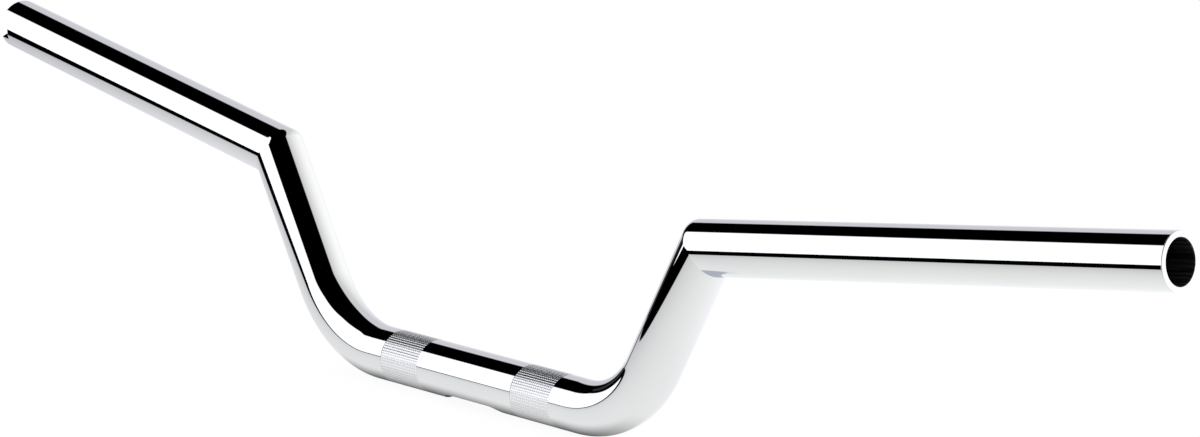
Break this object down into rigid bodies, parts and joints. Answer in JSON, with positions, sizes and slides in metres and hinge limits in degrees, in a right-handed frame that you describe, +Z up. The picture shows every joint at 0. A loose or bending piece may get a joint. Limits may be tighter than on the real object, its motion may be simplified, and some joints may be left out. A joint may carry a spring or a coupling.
{
  "type": "handlebar",
  "caption": "Chromed round-tube riser handlebar with knurled clamp seats, bent risers, mitred corners and open straight grips that sweep back and up.",
  "frame": {"origin": "on the tube's axis, in the middle of the clamp section between the two bends", "axes": "+X along the clamp section towards the right grip, +Z up in the plane of the risers, +Y back towards the rider, the way the grips sweep"},
  "size_m": [0.8048, 0.0471, 0.1421],
  "materials": {
    "chrome": "polished"
  },
  "bodies": {
    "root": {"centre_tube": "chrome", "left_grip_tube": "chrome", "right_grip_tube": "chrome"}
  },
  "joints": []
}
